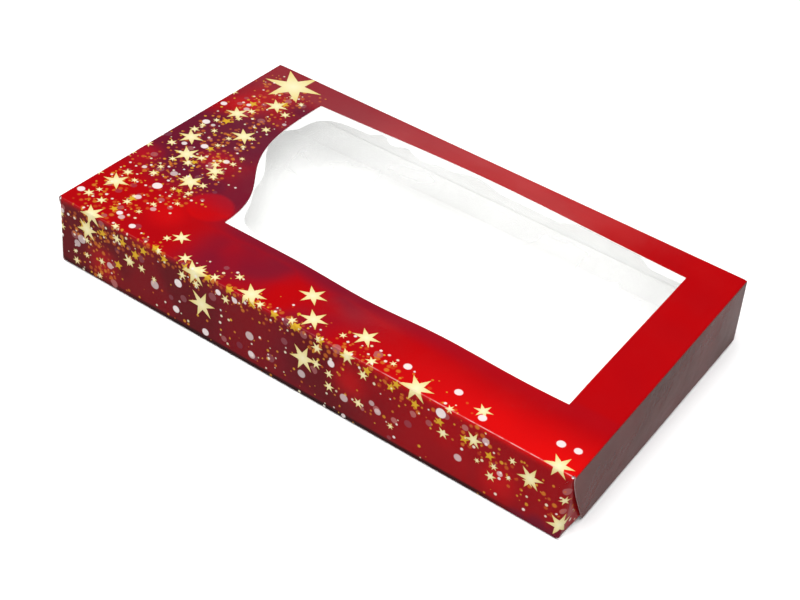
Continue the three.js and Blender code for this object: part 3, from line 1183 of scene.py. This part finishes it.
def film_ripple(x, y):
    """Waves of the film beside the window's left and back sides, dying out inwards and at the board."""
    from_left = x - window_left_at(y)
    from_back = WINDOW_BACK - y
    inside = 1
    for gap in (from_left, from_back, WINDOW_RIGHT - x, y - WINDOW_FRONT):
        inside = inside * smoothstep(FILM_HELD, gap)
    left_waves = sum(wave(y, *row) for row in FILM_LEFT_WAVES) * np.exp(-from_left / FILM_LEFT_REACH)
    back_waves = sum(wave(x, *row) for row in FILM_BACK_WAVES) * np.exp(-from_back / FILM_BACK_REACH)
    slack = wave(x, *FILM_SLACK_ALONG) * wave(y, *FILM_SLACK_ACROSS)
    return inside * (left_waves + back_waves + slack - FILM_SAG)


def add_film():
    x = np.linspace(film_low.x, film_high.x, FILM_COLUMNS)
    y = np.linspace(film_low.y, film_high.y, FILM_ROWS)
    grid_x, grid_y = np.meshgrid(x, y)
    z = (film_low.z + film_high.z) / 2 + top_bow(grid_x, grid_y) + film_ripple(grid_x, grid_y)
    middle = np.stack([grid_x, grid_y, z], axis=2)
    normal = np.zeros_like(middle) + (0, 0, 1)
    print_uv = np.stack([grid_x - window_left_at(grid_y), WINDOW_BACK - grid_y], axis=2)
    piece = add_sheet("film", middle, normal, print_uv, FILM, (FILM_CLEAR,) * 3)
    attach(piece, "tube")
    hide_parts("window_film")


def add_window_glue():
    """The thin ring of glue between the film and the top panel."""
    curve = window_left(GLUE_SETBACK)
    front = WINDOW_FRONT - GLUE_SETBACK
    back = WINDOW_BACK + GLUE_SETBACK
    behind = np.linspace(glue_high.y, back, 4)[:-1]
    before = np.linspace(front, glue_low.y, 4)[1:]
    y = np.concatenate([behind, curve[:, 1], before])
    left = np.interp(-y, -curve[:, 1], curve[:, 0])
    rows = len(y)
    right = np.full(rows, WINDOW_RIGHT + GLUE_SETBACK)
    bounds = np.stack([np.full(rows, glue_low.x), left, right, np.full(rows, glue_high.x)], axis=1)
    side_parts = np.linspace(0, 1, 5)
    middle_parts = np.linspace(0, 1, GLUE_COLUMNS)
    across = columns(bounds, side_parts, middle_parts, side_parts)
    down = np.broadcast_to(y[:, None], across.shape)
    z = (glue_low.z + glue_high.z) / 2 + top_bow(across, down)
    middle = np.stack([across, down, z], axis=2)
    normal = np.zeros_like(middle) + (0, 0, 1)
    present = cells_round_window(across, len(behind), side_parts, middle_parts)
    piece = add_sheet(
        "film_glue", middle, normal, np.stack([across, down], axis=2), GLUE, (GLUE_CLEAR,) * 3, present,
    )
    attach(piece, "tube")
    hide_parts("window_adhesive")


def finish_seam_glue():
    """The seam's glue keeps its CAD solid and gets the glue finish."""
    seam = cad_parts["seam_adhesive"]
    seam.data.materials.clear()
    seam.data.materials.append(GLUE_CLEAR)


# Camera: the photograph's view of the box, with its slight roll
CAMERA_AZIMUTH = math.radians(29.69)
CAMERA_ELEVATION = math.radians(39.0)
CAMERA_ROLL = math.radians(7.74)
CAMERA_DISTANCE = 768.5
CAMERA_TARGET = Vector((1.81, 0.75, 0))
CAMERA_LENS = 66.46
CAMERA_SENSOR = 36
CAMERA_CLIP = (0.01, 20)


def add_camera():
    data = bpy.data.cameras.new("camera")
    data.sensor_width = CAMERA_SENSOR
    data.lens = CAMERA_LENS
    data.clip_start, data.clip_end = CAMERA_CLIP
    turn = Matrix.Rotation(CAMERA_AZIMUTH, 4, "Z") @ Matrix.Rotation(QUARTER - CAMERA_ELEVATION, 4, "X")
    turn = turn @ Matrix.Rotation(CAMERA_ROLL, 4, "Z")
    back = turn.col[2].xyz
    camera = add_object("camera", data)
    camera.matrix_world = Matrix.Translation((CAMERA_TARGET + back * CAMERA_DISTANCE) * MM) @ turn
    bpy.context.scene.camera = camera


# Floor and light
FLOOR_RADIUS = 1.1
FLOOR_STEPS = 96
FLOOR_Z = -0.0002

# Softboxes: name, place, the point it faces, size and power
SOFTBOXES = (
    ("overhead", (0.06, -0.34, 1.45), (0, 0, 0), (1.4, 1.2), 41),
    ("behind", (-0.67, 1.32, 0.65), (0, 0, 0.04), (0.74, 0.53), 3.4),
    ("front", (0.1, -1.45, 0.17), (0, 0, 0.03), (1.2, 0.3), 2.8),
)

# The world's light over the height of a direction: where it fades, and its strength below and above
SKY = (0.12, 0.42, 0.8, 0.06)


def add_floor():
    mesh = bpy.data.meshes.new("floor")
    steps = [2 * math.pi * index / FLOOR_STEPS for index in range(FLOOR_STEPS)]
    rim = [(FLOOR_RADIUS * math.cos(step), FLOOR_RADIUS * math.sin(step), FLOOR_Z) for step in steps]
    mesh.from_pydata(rim, [], [tuple(range(FLOOR_STEPS))])
    material, nodes, shader = new_material("floor")
    clouds = nodes.noise(nodes.add("ShaderNodeTexCoord").outputs["Object"], 2.0)
    nodes.set(shader, {"Base Color": nodes.mix(clouds, FLOOR_GREY, FLOOR_PALE), "Roughness": 0.7})
    mesh.materials.append(material)
    floor = add_object("floor", mesh)


def add_softbox(name, place, aim, size, power):
    data = bpy.data.lights.new(name, "AREA")
    data.shape = "RECTANGLE"
    data.size, data.size_y = size
    data.energy = power
    lamp = add_object(name, data)
    lamp.location = place
    lamp.rotation_mode = "QUATERNION"
    lamp.rotation_quaternion = (Vector(aim) - Vector(place)).to_track_quat("-Z", "Y")


def add_light():
    world = bpy.data.worlds.new("studio")
    world.use_nodes = True
    nodes = Nodes(world.node_tree)
    direction = nodes.add("ShaderNodeTexCoord").outputs["Generated"]
    height = nodes.add("ShaderNodeSeparateXYZ", {"Vector": direction}).outputs["Z"]
    nodes.set(world.node_tree.nodes["Background"], {
        "Color": (1, 1, 1),
        "Strength": nodes.ramp(height, *SKY),
    })
    bpy.context.scene.world = world
    for softbox in SOFTBOXES:
        add_softbox(*softbox)
    view = bpy.context.scene.view_settings
    view.view_transform = "Standard"
    view.look = "None"


add_camera()
add_tube()
for end_side, end_name in ((1, "right"), (-1, "left")):
    add_tuck(end_side, end_name, add_closure(end_side, end_name))
    for wall_side in (-1, 1):
        add_dust(end_side, end_name, wall_side)
add_film()
add_window_glue()
finish_seam_glue()
add_floor()
add_light()
